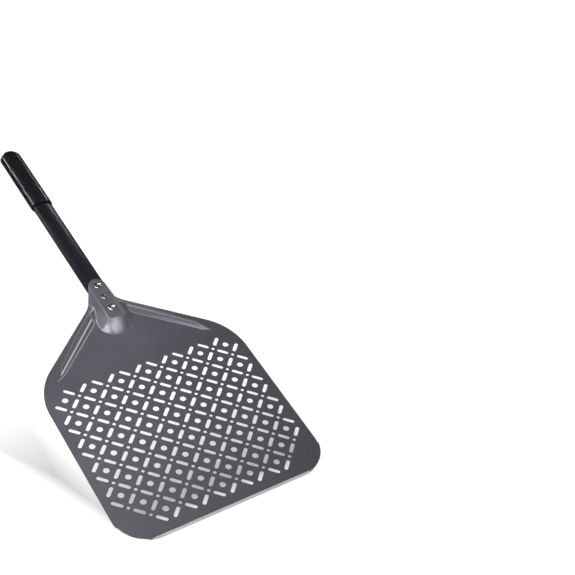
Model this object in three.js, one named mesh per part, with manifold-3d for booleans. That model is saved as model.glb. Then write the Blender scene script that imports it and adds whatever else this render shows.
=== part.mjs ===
// Perforated pizza peel: a formed sheet blade, an oval tube handle held to it by three blind
// rivets, and a moulded grip pushed over the tube's free end.
// Millimetres, +Z up. The origin is on the blade's underside, on the centre line, in the middle
// of the perforated field. +Y runs towards the grip; the blade rests on the plane z = 0.

import * as THREE from 'three';
import { ConvexGeometry } from 'three/addons/geometries/ConvexGeometry.js';
import { mergeVertices } from 'three/addons/utils/BufferGeometryUtils.js';
import Module from 'manifold-3d';

const wasm = await Module();
wasm.setup();

// ---- Driving dimensions ---------------------------------------------------------------------

const CLEARANCE = 0.3; // gap between neighbouring pieces
const OVERLAP = 1; // how far a cutter or a joined body runs past the face it meets

// Perforated field
const PITCH = 20.72; // distance between neighbouring slots, along X and along Y
const SLOT_LENGTH = 16.4;
const SLOT_WIDTH = 5.1;
const LARGE_HOLE = 8.5;
const SMALL_HOLE = 4.6;
const SLOT_END_STEPS = 3; // straight steps in each round slot end
const ROUND_HOLE_SIDES = 6;
const FULL_SLOT_REACH = 6.5; // columns of slots run from minus this to plus this, in pitches
const SLOT_ROW_REACH = { 6: 5.5, '-4': 5.5, '-5': 4.5 }; // the shorter rows at the field's ends

// Blade plan, with lengths counted from the front edge
const SHEET = 1.5;
const FRONT = -6.15 * PITCH; // the front edge's Y
const HALF_WIDTH = 152;
const FRONT_CORNER = 46; // radius
const SHOULDER_CORNER = 90; // radius
const SHOULDER_START = 228.5; // where the straight sides end
const SHOULDER_ANGLE = 41.65; // the shoulder edge's slope to X, in degrees
const NECK_FILLET = 48; // concave radius between the shoulder edge and the neck
const NECK_ANGLE = 63; // the neck edge's slope to X, in degrees
const NECK_FILLET_END = 389.8;
const TONGUE_RADIUS = 12.4;
const BLADE_LENGTH = 418.5; // front edge to the tongue's round tip

// Raised channel that holds the tube
const CHANNEL_HEIGHT = 15.25; // rise above the blade's top face
const CHANNEL_TOP = 12.4; // half width of its flat roof
const CHANNEL_FOOT = 21.2; // half width at the blade's face
const CHANNEL_BACK = 366; // where the flared front meets the parallel channel
const RAMP_TOP = 338.4;
const FLARE_FOOT = [
  [0, 320], [9, 320.4], [17, 321.8], [22, 325.5], [25, 331.5],
  [26.4, 338], [26.5, 346], [24.9, 355], [CHANNEL_FOOT, CHANNEL_BACK],
]; // half width and distance from the front edge, round the foot of the flared front
const WALL_INSET = 0.87; // how far the underside's outline lies inside the top's

// Stiffening ribs, one beside each shoulder edge: [along the edge, inwards from the edge]
const RIB_HEIGHT = 3;
const RIB_START = 4.9; // from the end of the straight shoulder edge back to the ribs' zero
const RIB_FOOT = [
  [-2, 3], [20, 2.5], [60, 3.8], [97, 6.3], [112, 7.9], [128, 12.6], [138, 17], [127, 19.2],
  [112, 20], [60, 19.1], [17.2, 18.6], [6, 11],
];
const RIB_CREST = [
  [4, 6], [20, 6.1], [60, 7.7], [97, 10.7], [118, 15], [112, 16], [60, 14.9], [17, 14], [9.5, 9.6],
];

// Handle
const TUBE_HALF_WIDTH = 15;
const TUBE_HALF_HEIGHT = 7.5;
const TUBE_WALL = 1.2;
const TUBE_AXIS_Z = CHANNEL_HEIGHT - CLEARANCE - TUBE_HALF_HEIGHT;
const TUBE_FRONT = 341.5;
const TUBE_BACK = 721.5;
const TUBE_SIDES = 48;

// Grip
const GRIP_FRONT = 600.5;
const GRIP_BACK = 737;
const GRIP_SIDE_BACK = 725.5; // where the sides turn in towards the round end
const GRIP_LEVELS = [
  { height: 0, halfWidth: 16.9, endRadius: 13.2, endSetback: 0 },
  { height: 3.5, halfWidth: 16.2, endRadius: 13, endSetback: 0.3 },
  { height: 7, halfWidth: 13.6, endRadius: 11.6, endSetback: 2 },
  { height: 9.6, halfWidth: 9, endRadius: 8.8, endSetback: 5.5 },
]; // outline at each height above and below the tube's axis
const GRIP_END_STEPS = 12;

// Blind rivets
const RIVET_PLACES = [358.1, 381.7, 405.1]; // distances from the front edge
const RIVET_SHANK = 2.4; // radius
const RIVET_BORE = 1.45; // radius
const RIVET_HEAD = 5.3; // radius
const RIVET_HEAD_HEIGHT = 1.7;
const RIVET_TAIL = 3.6; // radius of the bulged blind side
const RIVET_TAIL_LENGTH = 5.4;
const RIVET_SIDES = 20;
const MANDREL_RADIUS = 1.1;
const MANDREL_HEAD = 2.1; // radius
const MANDREL_RECESS = 0.8; // how far the broken stub lies below the head's top

// ---- Finishes -------------------------------------------------------------------------------

const finish = (color, roughness, metalness) =>
  new THREE.MeshStandardMaterial({ color, roughness, metalness });

const BLADE_FINISH = { color: 0x5c5b63, roughness: 0.45, metalness: 0.7 };
const TUBE_FINISH = { color: 0x26262a, roughness: 0.4, metalness: 0.6 };
const GRIP_FINISH = { color: 0x1d1d20, roughness: 0.6, metalness: 0 };
const RIVET_FINISH = { color: 0xd0d0d4, roughness: 0.25, metalness: 1 };
const MANDREL_FINISH = { color: 0x8c8c90, roughness: 0.4, metalness: 1 };

// ---- Helpers --------------------------------------------------------------------------------

const radians = THREE.MathUtils.degToRad;
const fromFront = (distance) => FRONT + distance;
const mirrored = (points) => points.map(([x, y]) => [-x, y]);

function arc(centreX, centreY, radius, fromDegrees, toDegrees, steps) {
  const points = [];
  for (let i = 0; i <= steps; i += 1) {
    const angle = radians(fromDegrees + ((toDegrees - fromDegrees) * i) / steps);
    points.push([centreX + radius * Math.cos(angle), centreY + radius * Math.sin(angle)]);
  }
  return points;
}

function toVectors(points) {
  return points.map(([x, y]) => new THREE.Vector2(x, y));
}

function toSolid(geometry) {
  const bare = geometry.clone();
  bare.deleteAttribute('normal');
  bare.deleteAttribute('uv');
  const merged = mergeVertices(bare, 1e-4);
  return new wasm.Manifold(new wasm.Mesh({
    numProp: 3,
    vertProperties: new Float32Array(merged.attributes.position.array),
    triVerts: new Uint32Array(merged.index.array),
  }));
}

function toGeometry(solid) {
  const mesh = solid.getMesh();
  const geometry = new THREE.BufferGeometry();
  geometry.setAttribute('position', new THREE.BufferAttribute(mesh.vertProperties, mesh.numProp));
  geometry.setIndex(new THREE.BufferAttribute(mesh.triVerts, 1));
  return geometry;
}

// A plate with the given outline and holes, from z = low to z = high.
function plate(outline, holes, low, high) {
  const shape = new THREE.Shape(toVectors(outline));
  shape.holes = holes.map((hole) => new THREE.Path(toVectors(hole)));
  const geometry = new THREE.ExtrudeGeometry(shape, { depth: high - low, bevelEnabled: false });
  return toSolid(geometry.translate(0, 0, low));
}

// The convex body that spans flat loops: [{ loop: [[x, y], ...], z }, ...].
function spanned(levels) {
  const points = levels.flatMap(({ loop, z }) => loop.map(([x, y]) => new THREE.Vector3(x, y, z)));
  return toSolid(new ConvexGeometry(points));
}

// A pressed form and the hollow below it, from its outline at the sheet's face and at its crest.
function pressedForm(foot, crest, innerFoot, innerCrest, height) {
  const outer = spanned([
    { loop: foot, z: SHEET / 2 },
    { loop: foot, z: SHEET },
    { loop: crest, z: SHEET + height },
  ]);
  const hollow = spanned([
    { loop: innerFoot, z: -OVERLAP },
    { loop: innerFoot, z: 0 },
    { loop: innerCrest, z: height },
  ]);
  return { outer, hollow };
}

// ---- Blade ----------------------------------------------------------------------------------

// Where the shoulder edge's straight stretch ends at the neck, its direction towards the blade's
// side, and its inward normal, all for the +X side.
const shoulder = (() => {
  const slope = radians(SHOULDER_ANGLE);
  const normalAngle = radians(90 - SHOULDER_ANGLE);
  const centre = [HALF_WIDTH - SHOULDER_CORNER, SHOULDER_START];
  const outward = [Math.cos(normalAngle), Math.sin(normalAngle)];
  const turn = radians(90 - NECK_ANGLE);
  const drop = NECK_FILLET * (Math.sin(normalAngle) - Math.sin(turn));
  const neckY = NECK_FILLET_END - drop;
  const tangent = [centre[0] + SHOULDER_CORNER * outward[0], centre[1] + SHOULDER_CORNER * outward[1]];
  const run = (neckY - tangent[1]) / Math.tan(slope);
  return {
    centre,
    neckEnd: [tangent[0] - run, neckY],
    along: [Math.cos(slope), -Math.sin(slope)],
    inward: [-outward[0], -outward[1]],
  };
})();

function bladeOutline() {
  const filletCentre = [
    shoulder.neckEnd[0] - NECK_FILLET * shoulder.inward[0],
    shoulder.neckEnd[1] - NECK_FILLET * shoulder.inward[1],
  ];
  const half = [
    ...arc(HALF_WIDTH - FRONT_CORNER, FRONT_CORNER, FRONT_CORNER, -90, 0, 10),
    ...arc(...shoulder.centre, SHOULDER_CORNER, 0, 90 - SHOULDER_ANGLE, 8),
    ...arc(...filletCentre, NECK_FILLET, 270 - SHOULDER_ANGLE, 270 - NECK_ANGLE, 5),
    ...arc(0, BLADE_LENGTH - TONGUE_RADIUS, TONGUE_RADIUS, 90 - NECK_ANGLE, 90, 6),
  ].map(([x, y]) => [x, fromFront(y)]);
  const otherHalf = mirrored(half.slice(0, -1)).reverse();
  return [...half, ...otherHalf];
}

function slotOutline(x, y, degrees) {
  const halfStraight = (SLOT_LENGTH - SLOT_WIDTH) / 2;
  const dx = halfStraight * Math.cos(radians(degrees));
  const dy = halfStraight * Math.sin(radians(degrees));
  return [
    ...arc(x + dx, y + dy, SLOT_WIDTH / 2, degrees - 90, degrees + 90, SLOT_END_STEPS),
    ...arc(x - dx, y - dy, SLOT_WIDTH / 2, degrees + 90, degrees + 270, SLOT_END_STEPS),
  ];
}

function roundOutline(x, y, diameter) {
  return arc(x, y, diameter / 2, 0, 360, ROUND_HOLE_SIDES).slice(0, -1);
}

// Slots lie on a square lattice and turn 90 degrees from each one to the next, so they frame the
// round holes, which alternate between large and small in the middle of each lattice square.
function fieldHoles() {
  const holes = [];
  for (let row = -5; row <= 6; row += 1) {
    const reach = SLOT_ROW_REACH[row] ?? FULL_SLOT_REACH;
    for (let column = -reach; column <= reach; column += 1) {
      const leaning = Math.abs(column + 0.5 + row) % 2 === 0 ? 45 : -45;
      holes.push(slotOutline(column * PITCH, row * PITCH, leaning));
    }
  }
  for (let row = -4.5; row <= 5.5; row += 1) {
    const reach = row < -4 ? FULL_SLOT_REACH - 1.5 : FULL_SLOT_REACH - 0.5;
    for (let column = -reach; column <= reach; column += 1) {
      const diameter = Math.abs(column + row + 0.5) % 2 === 0 ? LARGE_HOLE : SMALL_HOLE;
      holes.push(roundOutline(column * PITCH, row * PITCH, diameter));
    }
  }
  return holes;
}

// The channel over the tube: a parallel length that runs out past the neck, and the flared front
// whose ramp comes down to the blade.
function channelForms() {
  const past = BLADE_LENGTH + 10 * OVERLAP;
  const straightLoop = (halfWidth) => [
    [-halfWidth, fromFront(CHANNEL_BACK - OVERLAP)], [halfWidth, fromFront(CHANNEL_BACK - OVERLAP)],
    [halfWidth, fromFront(past)], [-halfWidth, fromFront(past)],
  ];
  const flareLoop = (inset) => {
    const side = FLARE_FOOT.map(([x, y]) => [
      Math.max(x - inset, 0),
      fromFront(y < RAMP_TOP ? y + inset : y),
    ]);
    return [...side, ...mirrored(side)];
  };
  const roofLoop = (inset) => {
    const halfWidth = CHANNEL_TOP - inset;
    const front = fromFront(RAMP_TOP + inset);
    const back = fromFront(CHANNEL_BACK);
    return [[-halfWidth, front], [halfWidth, front], [halfWidth, back], [-halfWidth, back]];
  };
  return [
    pressedForm(
      straightLoop(CHANNEL_FOOT), straightLoop(CHANNEL_TOP),
      straightLoop(CHANNEL_FOOT - WALL_INSET), straightLoop(CHANNEL_TOP - WALL_INSET),
      CHANNEL_HEIGHT,
    ),
    pressedForm(
      flareLoop(0), roofLoop(0), flareLoop(WALL_INSET), roofLoop(WALL_INSET), CHANNEL_HEIGHT,
    ),
  ];
}

function ribForms() {
  const zero = [
    shoulder.neckEnd[0] - RIB_START * shoulder.along[0],
    shoulder.neckEnd[1] - RIB_START * shoulder.along[1],
  ];
  const place = (points) => points.map(([along, inward]) => [
    zero[0] + along * shoulder.along[0] + inward * shoulder.inward[0],
    fromFront(zero[1] + along * shoulder.along[1] + inward * shoulder.inward[1]),
  ]);
  const foot = place(RIB_FOOT);
  const crest = place(RIB_CREST);
  return [
    pressedForm(foot, crest, foot, crest, RIB_HEIGHT),
    pressedForm(mirrored(foot), mirrored(crest), mirrored(foot), mirrored(crest), RIB_HEIGHT),
  ];
}

// A round cutter along Z, centred on the channel's line.
function rivetHole(place, low, high) {
  const radius = RIVET_SHANK + CLEARANCE;
  const cylinder = new THREE.CylinderGeometry(radius, radius, high - low, RIVET_SIDES);
  cylinder.rotateX(Math.PI / 2);
  return toSolid(cylinder.translate(0, fromFront(place), (low + high) / 2));
}

function bladeGeometry() {
  const outline = bladeOutline();
  const forms = [...channelForms(), ...ribForms()];
  const trim = plate(outline, [], -OVERLAP, SHEET + CHANNEL_HEIGHT + OVERLAP);
  let blade = plate(outline, fieldHoles(), 0, SHEET);
  forms.forEach(({ outer }) => { blade = blade.add(outer.intersect(trim)); });
  forms.forEach(({ hollow }) => { blade = blade.subtract(hollow); });
  RIVET_PLACES.forEach((place) => {
    const high = SHEET + CHANNEL_HEIGHT + OVERLAP;
    blade = blade.subtract(rivetHole(place, CHANNEL_HEIGHT - OVERLAP, high));
  });
  return toGeometry(blade);
}

// ---- Handle tube and grip -------------------------------------------------------------------

function ovalPoints(halfWidth, halfHeight) {
  const points = [];
  for (let i = 0; i < TUBE_SIDES; i += 1) {
    const angle = (2 * Math.PI * i) / TUBE_SIDES;
    points.push([halfWidth * Math.cos(angle), halfHeight * Math.sin(angle)]);
  }
  return points;
}

// An oval bar or tube along Y on the handle's axis.
function ovalAlongY(outer, inner, front, back) {
  const shape = new THREE.Shape(toVectors(outer));
  shape.holes = inner ? [new THREE.Path(toVectors(inner))] : [];
  const geometry = new THREE.ExtrudeGeometry(shape, { depth: back - front, bevelEnabled: false });
  geometry.rotateX(Math.PI / 2);
  return toSolid(geometry.translate(0, fromFront(back), TUBE_AXIS_Z));
}

function tubeGeometry() {
  const outer = ovalPoints(TUBE_HALF_WIDTH, TUBE_HALF_HEIGHT);
  const inner = ovalPoints(TUBE_HALF_WIDTH - TUBE_WALL, TUBE_HALF_HEIGHT - TUBE_WALL);
  let tube = ovalAlongY(outer, inner, TUBE_FRONT, TUBE_BACK);
  const top = TUBE_AXIS_Z + TUBE_HALF_HEIGHT;
  RIVET_PLACES.forEach((place) => {
    tube = tube.subtract(rivetHole(place, top - 2 * TUBE_WALL, top + OVERLAP));
  });
  return toGeometry(tube);
}

function gripLoop({ halfWidth, endRadius, endSetback }) {
  const end = GRIP_BACK - endSetback;
  const side = [[halfWidth, GRIP_FRONT], [halfWidth, GRIP_SIDE_BACK - endSetback]];
  return [
    ...side,
    ...arc(0, end - endRadius, endRadius, 0, 180, GRIP_END_STEPS),
    ...mirrored(side),
  ].map(([x, y]) => [x, fromFront(y)]);
}

function gripGeometry() {
  const levels = GRIP_LEVELS.flatMap((level) => [
    { loop: gripLoop(level), z: TUBE_AXIS_Z + level.height },
    { loop: gripLoop(level), z: TUBE_AXIS_Z - level.height },
  ]);
  const socket = ovalPoints(TUBE_HALF_WIDTH + CLEARANCE, TUBE_HALF_HEIGHT + CLEARANCE);
  const bore = ovalAlongY(socket, null, GRIP_FRONT - OVERLAP, TUBE_BACK + CLEARANCE);
  return toGeometry(spanned(levels).subtract(bore));
}

// ---- Rivets ---------------------------------------------------------------------------------

const HEAD_SEAT = SHEET + CHANNEL_HEIGHT + CLEARANCE; // underside of the rivet heads
const TAIL_TOP = TUBE_AXIS_Z + TUBE_HALF_HEIGHT - TUBE_WALL - 2 * CLEARANCE;
const TAIL_BOTTOM = TAIL_TOP - RIVET_TAIL_LENGTH;

// Turns a closed [radius, z] profile about the rivet's axis.
function turned(profile) {
  const points = toVectors([...profile, profile[0]]);
  const geometry = new THREE.LatheGeometry(points, RIVET_SIDES);
  return toGeometry(toSolid(geometry.rotateX(Math.PI / 2)));
}

function rivetGeometry() {
  const headTop = HEAD_SEAT + RIVET_HEAD_HEIGHT;
  return turned([
    [RIVET_BORE, TAIL_BOTTOM],
    [RIVET_TAIL - 1, TAIL_BOTTOM],
    [RIVET_TAIL, TAIL_BOTTOM + 1.4],
    [RIVET_TAIL, TAIL_TOP - 1],
    [RIVET_SHANK, TAIL_TOP],
    [RIVET_SHANK, HEAD_SEAT],
    [RIVET_HEAD, HEAD_SEAT],
    [RIVET_HEAD, HEAD_SEAT + 0.5],
    [RIVET_HEAD * 0.82, HEAD_SEAT + 1.15],
    [RIVET_HEAD * 0.5, headTop],
    [RIVET_BORE + 0.3, headTop],
    [RIVET_BORE, headTop - 0.3],
  ]);
}

function mandrelGeometry() {
  const stubTop = HEAD_SEAT + RIVET_HEAD_HEIGHT - MANDREL_RECESS;
  const headTop = TAIL_BOTTOM - CLEARANCE;
  return turned([
    [0, headTop - 2.6],
    [MANDREL_HEAD * 0.7, headTop - 2.3],
    [MANDREL_HEAD, headTop - 1.2],
    [MANDREL_HEAD, headTop],
    [MANDREL_RADIUS, headTop],
    [MANDREL_RADIUS, stubTop],
    [0, stubTop],
  ]);
}

// ---- Assembly -------------------------------------------------------------------------------

function named(name, geometry, look) {
  const mesh = new THREE.Mesh(geometry, finish(look.color, look.roughness, look.metalness));
  mesh.name = name;
  return mesh;
}

const peel = new THREE.Group();
peel.add(
  named('blade', bladeGeometry(), BLADE_FINISH),
  named('handle_tube', tubeGeometry(), TUBE_FINISH),
  named('grip', gripGeometry(), GRIP_FINISH),
);

RIVET_PLACES.forEach((place, index) => {
  const rivet = new THREE.Group();
  rivet.position.y = fromFront(place);
  rivet.add(
    named(`rivet_body_${index + 1}`, rivetGeometry(), RIVET_FINISH),
    named(`rivet_mandrel_${index + 1}`, mandrelGeometry(), MANDREL_FINISH),
  );
  peel.add(rivet);
});

export default peel;
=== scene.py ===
import math

import bmesh
import bpy
import numpy as np
from mathutils import Matrix, Vector
from mathutils.geometry import delaunay_2d_cdt


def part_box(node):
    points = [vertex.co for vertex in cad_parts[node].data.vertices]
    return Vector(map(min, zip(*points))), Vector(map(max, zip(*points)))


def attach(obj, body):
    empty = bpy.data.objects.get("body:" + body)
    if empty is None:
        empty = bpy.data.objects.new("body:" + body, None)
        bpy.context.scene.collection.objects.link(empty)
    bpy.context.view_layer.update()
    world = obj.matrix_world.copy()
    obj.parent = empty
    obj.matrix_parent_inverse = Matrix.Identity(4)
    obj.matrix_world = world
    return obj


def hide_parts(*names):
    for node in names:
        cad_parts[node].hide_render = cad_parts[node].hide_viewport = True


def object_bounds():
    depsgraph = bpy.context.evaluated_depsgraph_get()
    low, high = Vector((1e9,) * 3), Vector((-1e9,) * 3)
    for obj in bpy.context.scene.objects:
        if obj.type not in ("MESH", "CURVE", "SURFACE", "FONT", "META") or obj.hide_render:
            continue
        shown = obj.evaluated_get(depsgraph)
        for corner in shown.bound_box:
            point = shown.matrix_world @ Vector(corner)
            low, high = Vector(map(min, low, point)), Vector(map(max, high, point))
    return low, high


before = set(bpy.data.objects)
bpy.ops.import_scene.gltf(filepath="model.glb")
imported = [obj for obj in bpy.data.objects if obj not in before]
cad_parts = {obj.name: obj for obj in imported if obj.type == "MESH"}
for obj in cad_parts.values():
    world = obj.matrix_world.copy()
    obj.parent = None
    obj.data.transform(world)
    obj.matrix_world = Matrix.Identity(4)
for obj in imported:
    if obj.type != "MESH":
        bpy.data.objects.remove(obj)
cad_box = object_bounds()

# The looks of a perforated pizza peel: a pressed and anodised sheet blade, an oval tube, a moulded
# grip and blind rivets. Lengths are millimetres until add_mesh turns them into Blender's metres.
# "From the front" means the distance behind the blade's front edge. Every highlight value is how strongly
# a crease is painted pale as a highlight, from 0 to 1.

MM = 0.001
BODY = "root"


def node_box(name):
    """A CAD node's lowest and highest corners, in millimetres."""
    low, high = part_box(name)
    return np.array(low) / MM, np.array(high) / MM


BLADE_LOW, BLADE_HIGH = node_box("blade")
TUBE_LOW, TUBE_HIGH = node_box("handle_tube")
GRIP_LOW, GRIP_HIGH = node_box("grip")

# ---- Blade dimensions ------------------------------------------------------------------------

SHEET = 1.5
EDGE_RADIUS = 0.3
ARC_MIDDLE = 0.3  # how far a rounded edge's middle lies from its two faces, in radii
FRONT = BLADE_LOW[1]
HALF_WIDTH = BLADE_HIGH[0]
BLADE_LENGTH = BLADE_HIGH[1] - FRONT
FRONT_CORNER = 46.0
SHOULDER_CORNER = 90.0
SHOULDER_START = 228.5
SHOULDER_ANGLE = math.radians(41.65)
NECK_FILLET = 48.0
NECK_ANGLE = math.radians(63.0)
NECK_FILLET_END = 389.8
TONGUE_RADIUS = 12.4
ARC_STEP = 1.2  # longest chord on the outline's arcs

PITCH = 20.72
SLOT_LENGTH = 16.4
SLOT_WIDTH = 5.1
LARGE_HOLE = 8.5
SMALL_HOLE = 4.6
RIVET_HOLE = 5.4
SLOT_END_STEPS = 10
LARGE_HOLE_SIDES = 28
SMALL_HOLE_SIDES = 18
SLOT_ROWS = range(-5, 7)  # slot rows, in pitches behind the field's middle
HOLE_ROWS = np.arange(-4.5, 6)  # round hole rows, halfway between the slot rows

# How far the rows reach to either side of the middle, in pitches.
FULL_SLOT_REACH = 6.5
SLOT_ROW_REACH = {6: 5.5, -4: 5.5, -5: 4.5}  # the shorter slot rows
FULL_HOLE_REACH = 6.0
FRONT_HOLE_REACH = 5.0

BEVEL_LENGTH = 3.2  # ground bevel along the front edge
BEVEL_DROP = 1.0
BEVEL_ARRIS = 0.15  # half the width of the bend where the bevel meets the sheet

ROOF_HEIGHT = BLADE_HIGH[2] - SHEET
ROOF_HALF = 12.4
CHANNEL_FOOT = 21.2
FLARE_HALF = 26.5
FLARE_FRONT = 320.0
FLARE_WIDEST = 346.0
FLARE_BACK = 369.0
FLARE_POWER = 3.0  # the power of the flare's rounded outline, 2 for an ellipse
RAMP_TOP = 338.4
RAMP_CROWN = 3.0  # how far the ramp's sides drop below its middle
SHORTEST_RUN = 4.0  # the least distance over which a wall or the ramp climbs to the roof
WALL_INSET = 0.87
ROOF_BEND = 1.5
FOOT_BEND = 2.0
RIDGE_BEND = 2.2  # bend between wall and ramp where they meet the roof
RIDGE_BEND_GAIN = 18.0  # what it gains towards the foot
RIDGE_BEND_LIMIT = 9.0

# Widths and painted highlight strengths of the channel's creases.
WALL_BROW, WALL_BROW_HIGHLIGHT = 2.6, 0.22
RAMP_BROW, RAMP_BROW_HIGHLIGHT = 1.8, 0.2
WALL_FOOT, WALL_FOOT_HIGHLIGHT = 2.8, 0.3
RAMP_FOOT, RAMP_FOOT_HIGHLIGHT = 1.6, 0.2
MEETING, MEETING_HIGHLIGHT = 2.0, 0.35

# A shoulder rib is laid out along the shoulder edge, from a point RIB_ZERO behind the edge's neck
# end, and inward from that edge. Its two foot lines bend together to a point at its outer tip.
RIB_HEIGHT = 3.0
RIB_ZERO = 4.9
RIB_LENGTH = 138.0
RIB_BODY = 112.0  # the length before its outer foot line turns in to the tip
RIB_BEND = 0.75
OUTER_FOOT, OUTER_FOOT_SWEEP = 2.5, 5.0
INNER_FOOT, INNER_FOOT_SWEEP = 20.2, 1.0
OUTER_TIP, OUTER_TIP_SLOPE = 17.0, 0.365
INNER_TIP, INNER_TIP_SLOPE = 17.2, 0.3
OUTER_FLANK = 4.0
INNER_FLANK, INNER_FLANK_TAPER = 6.4, 0.02
END_FLANK = 3.0
END_FOOT = (-1.6, 5.9)  # a point on the neck end's foot line
END_ANGLE = math.radians(-56)  # the way the neck end climbs, from along towards inward
CREASE_HALF = 1.8

# Painted highlight strengths on a rib's inner flank, outer flank and neck end.
CREST_HIGHLIGHT = (0.85, 0.26, 0.3)
FOOT_HIGHLIGHT = (0.45, 0.12, 0.6)

# The right rib gets a painted highlight in a band along its top, and weaker painted highlights on its
# creases. BAND_LEVEL and BAND_FADE are heights of the rib's flanks before its flat top cuts them off.
BAND_HALF = 3.6
BAND_OFFSET = 0.4
BAND_LEVEL = 4.0
BAND_FADE = 3.5
BAND_HIGHLIGHT = 0.5
RIGHT_CREST_SHARE = 0.05
RIGHT_FOOT_SHARE = 0.75

BENCH_HEIGHT = 6.0  # the sheet's rise beside the neck
BENCH_START = 352.0
BENCH_END = 388.0
BENCH_SLOPE = 0.55
BENCH_MARGIN = 2.0
BENCH_SINK = 0.5  # how far the bench lies below the sheet where it has no rise
# the strongest painted highlight on the bench's outer crease
BENCH_HIGHLIGHT = 0.6

# Spacing of the extra mesh points on the pressed forms.
NECK_GRID = 0.8
RIB_GRID_ALONG = 1.6
RIB_GRID_ACROSS = 0.7
RIB_GRID_BAND = (1.0, 22.0)  # from the shoulder edge
GRID_MARGIN = 3.0

# ---- Rivets, tube and grip dimensions ----------------------------------------------------------

RIVETS = (1, 2, 3)
RIVET_SEAT_GAP = 0.02
RIVET_RIM = 0.45  # height of the head's upright rim
DOME_ANGLE = math.radians(72)
DOME_MOUTH = 2.1
RIVET_BORE = 1.45
RIVET_SHANK = 2.4
RIVET_BULB = 3.6  # the shank's swollen blind end
MANDREL_STEM = 1.3
MANDREL_HEAD = 2.1
LATHE_SIDES = 64

TUBE_WALL = 1.2
TUBE_SIDES = 96

# The grip's section is given for one quarter, as (x, z) from the tube's axis.
GRIP_SECTION = [(0.0, 9.6), (9.0, 9.6), (13.6, 7.0), (16.2, 3.5), (16.9, 0.0)]
GRIP_EDGE_ROUNDING = 1.3
GRIP_SECTION_POINTS = 160
GRIP_END_RADIUS = 13.2
GRIP_NOSE = 12.0  # the length over which the closed end rounds down
GRIP_NOSE_REACH = 14.4  # the length that the nose's rings cover
GRIP_NOSE_RINGS = 40
GRIP_BODY_RINGS = 8
GRIP_BODY_BACK, GRIP_BODY_FRONT = 20.0, 3.0  # where the even body ends, from the grip's two ends
WING_FADE, WING_FADE_START = 5.0, 11.5  # the side facets narrow over this length near the end
WING_LOSS, WING_POWER = 0.24, 1.3
WING_END = 6.5
GRIP_LIP = [(1.0, 1.0), (0.45, 0.99), (0.12, 0.972), (0.0, 0.945)]  # (depth, share of the section)
SOCKET_GAP = 0.15
SOCKET_LEAD_IN = [(0.4, 0.0), (0.1, 0.2), (0.0, 0.6)]  # (wider by, depth)
SOCKET_END_GAP = 0.3


# ---- Mesh helpers ------------------------------------------------------------------------------

def add_mesh(name, vertices, faces, material, sharp_degrees=None, normals=None, values=None):
    """A new piece from millimetre vertices, riding on the peel's one body."""
    mesh = bpy.data.meshes.new(name)
    mesh.from_pydata((np.asarray(vertices) * MM).tolist(), [], faces)
    mesh.validate()
    mesh.polygons.foreach_set("use_smooth", [True] * len(mesh.polygons))
    for attribute_name, numbers in (values or {}).items():
        attribute = mesh.attributes.new(attribute_name, "FLOAT", "POINT")
        attribute.data.foreach_set("value", np.asarray(numbers, np.float32))
    if sharp_degrees is not None:
        mark_sharp_edges(mesh, math.radians(sharp_degrees))
    if normals is not None:
        mesh.normals_split_custom_set_from_vertices([tuple(n) for n in normals])
    mesh.materials.append(material)
    piece = bpy.data.objects.new(name, mesh)
    bpy.context.scene.collection.objects.link(piece)
    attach(piece, BODY)
    return piece


def mark_sharp_edges(mesh, angle):
    """Turns the faces outwards and keeps edges that bend by more than the angle sharp."""
    work = bmesh.new()
    work.from_mesh(mesh)
    bmesh.ops.recalc_face_normals(work, faces=work.faces)
    for edge in work.edges:
        edge.smooth = len(edge.link_faces) != 2 or edge.calc_face_angle() < angle
    work.to_mesh(mesh)
    work.free()


def skin(rings, ends):
    """Vertices and faces over equal closed rings. ends is "wrap" to join the last ring to the
    first, or "cap" to close both ends with a point in the middle of the end rings."""
    count = len(rings[0])
    vertices = np.concatenate(rings)
    faces = []
    pairs = [(k, k + 1) for k in range(len(rings) - 1)]
    if ends == "wrap":
        pairs.append((len(rings) - 1, 0))
    for a, b in pairs:
        for i in range(count):
            j = (i + 1) % count
            faces.append((a * count + i, a * count + j, b * count + j, b * count + i))
    if ends == "cap":
        for ring in (0, len(rings) - 1):
            middle = len(vertices)
            vertices = np.vstack([vertices, rings[ring].mean(0)])
            for i in range(count):
                faces.append((ring * count + i, ring * count + (i + 1) % count, middle))
    return vertices, faces


def turned(profile, centre):
    """Rings of a [radius, z] profile turned about a vertical axis through centre (x, y)."""
    angle = np.linspace(0, 2 * math.pi, LATHE_SIDES, endpoint=False)
    rings = []
    for radius, z in profile:
        x = centre[0] + radius * np.cos(angle)
        y = centre[1] + radius * np.sin(angle)
        rings.append(np.column_stack([x, y, np.full(LATHE_SIDES, z)]))
    return rings


# ---- Blade plan --------------------------------------------------------------------------------

def arc(centre, radius, start, end, steps=None):
    """Points on a circle, angles in radians."""
    if steps is None:
        steps = max(4, math.ceil(abs(end - start) * radius / ARC_STEP))
    angle = np.linspace(start, end, steps + 1)
    return np.column_stack([centre[0] + radius * np.cos(angle), centre[1] + radius * np.sin(angle)])


class Shoulder:
    """The straight shoulder edge on the +X side, in x and distance from the front."""

    normal = np.array([math.sin(SHOULDER_ANGLE), math.cos(SHOULDER_ANGLE)])
    along = np.array([math.cos(SHOULDER_ANGLE), -math.sin(SHOULDER_ANGLE)])
    centre = np.array([HALF_WIDTH - SHOULDER_CORNER, SHOULDER_START])
    tangent = centre + SHOULDER_CORNER * normal
    neck_y = NECK_FILLET_END - NECK_FILLET * (math.cos(SHOULDER_ANGLE) - math.cos(NECK_ANGLE))
    neck_end = tangent - along * (neck_y - tangent[1]) / math.sin(SHOULDER_ANGLE)
    fillet_centre = neck_end + NECK_FILLET * normal
    rib_zero = neck_end - RIB_ZERO * along


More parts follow.
